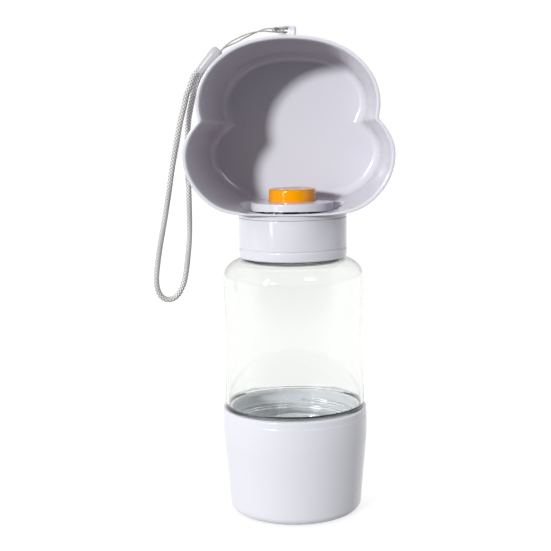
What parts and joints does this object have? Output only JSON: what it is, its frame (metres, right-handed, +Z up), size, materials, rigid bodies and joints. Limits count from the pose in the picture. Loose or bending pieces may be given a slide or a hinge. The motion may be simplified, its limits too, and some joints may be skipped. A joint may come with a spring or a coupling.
{
  "type": "dog travel water bottle",
  "caption": "Upright travel water bottle for dogs: food cup, clear bottle, screw cap, cloud-shaped drinking trough with push-button valve, and a wrist strap.",
  "frame": {"origin": "centre of the food cup's foot, on the surface that the bottle stands on", "axes": "+Z up along the bottle's axis, the trough opens towards -Y, +X to the right seen from the front"},
  "size_m": [0.1134, 0.07, 0.2305],
  "materials": {
    "white_plastic": "smooth glossy lavender-white moulded plastic",
    "clear_plastic": "clear moulded plastic",
    "orange_plastic": "glossy orange moulded plastic",
    "silicone": "matte translucent silicone",
    "steel": "plain stainless steel",
    "string": "thin twisted string",
    "sleeve": "satin grey moulded sleeve",
    "strap": "braided round cord"
  },
  "bodies": {
    "cup": {"food_cup": "white_plastic"},
    "base_ring": {"cup_seal": "silicone"},
    "bottle": {"bottle_body": "clear_plastic"},
    "neck_ring": {"neck_gasket": "silicone"},
    "head": {"screw_cap": "white_plastic", "trough": "white_plastic", "trough_gasket": "silicone", "valve_body": "white_plastic", "valve_nut": "white_plastic", "stem_seal": "silicone", "valve_spring": "steel", "string_loop": "string", "lanyard_sleeve": "sleeve", "strap_cord": "strap"},
    "button": {"push_button": "orange_plastic", "valve_stem": "steel", "valve_seal": "silicone", "valve_plate": "white_plastic", "stem_clip": "steel"}
  },
  "joints": [
    {"name": "bottle_lift", "type": "slide", "parent": "cup", "child": "base_ring", "axis": [0, 0, 1], "range_m": [0, 0.0061]},
    {"name": "bottle_unscrew", "type": "hinge", "parent": "base_ring", "child": "bottle", "pos_m": [0, 0, 0], "axis": [0, 0, 1], "range_deg": [0, 540]},
    {"name": "cap_lift", "type": "slide", "parent": "bottle", "child": "neck_ring", "axis": [0, 0, 1], "range_m": [0, 0.0061]},
    {"name": "cap_unscrew", "type": "hinge", "parent": "neck_ring", "child": "head", "pos_m": [0, 0, 0], "axis": [0, 0, 1], "range_deg": [0, 540]},
    {"name": "button_press", "type": "slide", "parent": "head", "child": "button", "axis": [0, 0, -1], "range_m": [0, 0.0024], "stiffness_N_per_m": 800, "springref_m": -0.002, "deforming": ["valve_spring"]}
  ],
  "couplings": [
    {"joint": "bottle_lift", "follows": "bottle_unscrew", "m_per_rad": 0.00063662},
    {"joint": "cap_lift", "follows": "cap_unscrew", "m_per_rad": 0.00063662}
  ]
}
